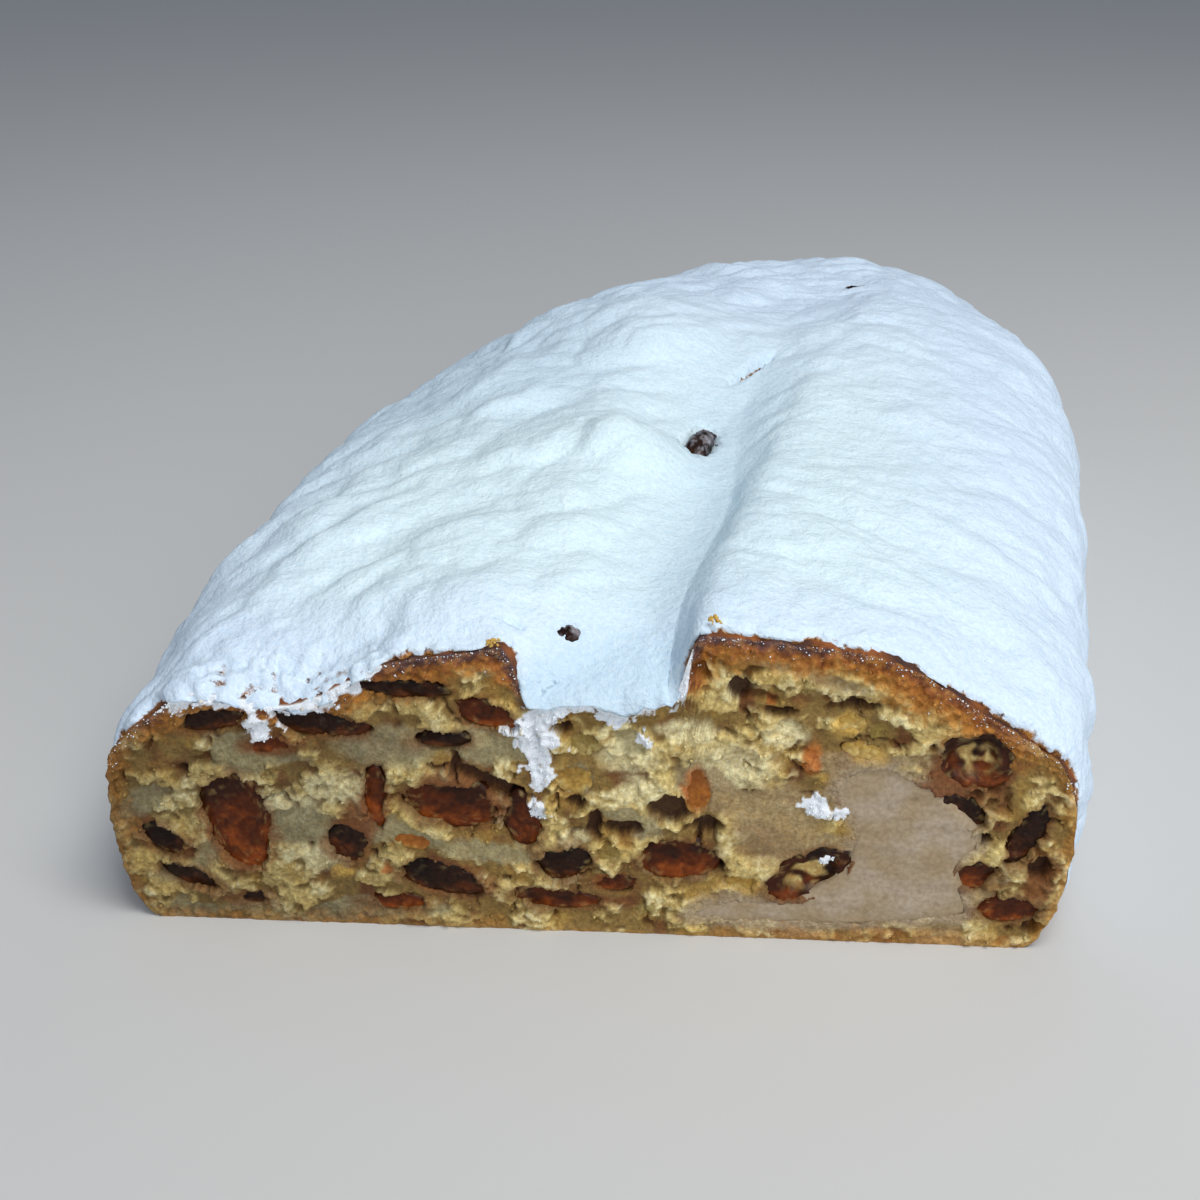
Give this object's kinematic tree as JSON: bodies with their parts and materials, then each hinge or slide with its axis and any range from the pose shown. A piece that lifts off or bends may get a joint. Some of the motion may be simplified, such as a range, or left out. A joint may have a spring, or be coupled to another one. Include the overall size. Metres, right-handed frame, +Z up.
{
  "type": "stollen",
  "caption": "Folded fruit loaf cut across at one end, with raisins, candied peel and a marzipan core at the cut, under a thick coat of icing sugar.",
  "frame": {"origin": "centre of the bounding box's bottom face, on the surface the loaf rests on", "axes": "+Y from the cut face to the rounded far end, +Z up, +X to the right when looking at the cut face from -Y; the loaf leans a little from the cut towards +X"},
  "size_m": [0.1684, 0.2484, 0.0552],
  "materials": {
    "crumb": "baked crumb, cream to yellow, with an orange-brown to dark brown crust at its edge",
    "icing_sugar": "thick matt powdered sugar, rippled and slightly bluish white",
    "marzipan": "smooth dense almond paste, beige, barely glossy",
    "dark_raisin": "wrinkled dark raisin, moist where it is cut",
    "amber_raisin": "plump amber sultana, translucent and glossy where it is cut",
    "candied_peel": "candied lemon and orange peel, translucent and sticky"
  },
  "bodies": {
    "root": {"dough": "crumb", "sugar_coat": "icing_sugar", "marzipan": "marzipan", "raisin_dark_01": "dark_raisin", "raisin_dark_02": "dark_raisin", "raisin_dark_03": "dark_raisin", "raisin_dark_04": "dark_raisin", "raisin_dark_05": "dark_raisin", "raisin_dark_06": "dark_raisin", "raisin_dark_07": "dark_raisin", "raisin_dark_08": "dark_raisin", "raisin_dark_09": "dark_raisin", "raisin_dark_10": "dark_raisin", "raisin_dark_11": "dark_raisin", "raisin_dark_12": "dark_raisin", "raisin_dark_13": "dark_raisin", "raisin_top_01": "dark_raisin", "raisin_top_02": "dark_raisin", "raisin_top_03": "dark_raisin", "raisin_amber_01": "amber_raisin", "raisin_amber_02": "amber_raisin", "raisin_amber_03": "amber_raisin", "raisin_amber_04": "amber_raisin", "raisin_amber_05": "amber_raisin", "raisin_amber_06": "amber_raisin", "raisin_amber_07": "amber_raisin", "raisin_amber_08": "amber_raisin", "raisin_amber_09": "amber_raisin", "raisin_amber_10": "amber_raisin", "raisin_amber_11": "amber_raisin", "raisin_amber_12": "amber_raisin", "raisin_amber_13": "amber_raisin", "peel_01": "candied_peel", "peel_02": "candied_peel", "peel_03": "candied_peel", "peel_04": "candied_peel", "peel_05": "candied_peel", "peel_06": "candied_peel", "peel_07": "candied_peel", "peel_08": "candied_peel"}
  },
  "joints": []
}
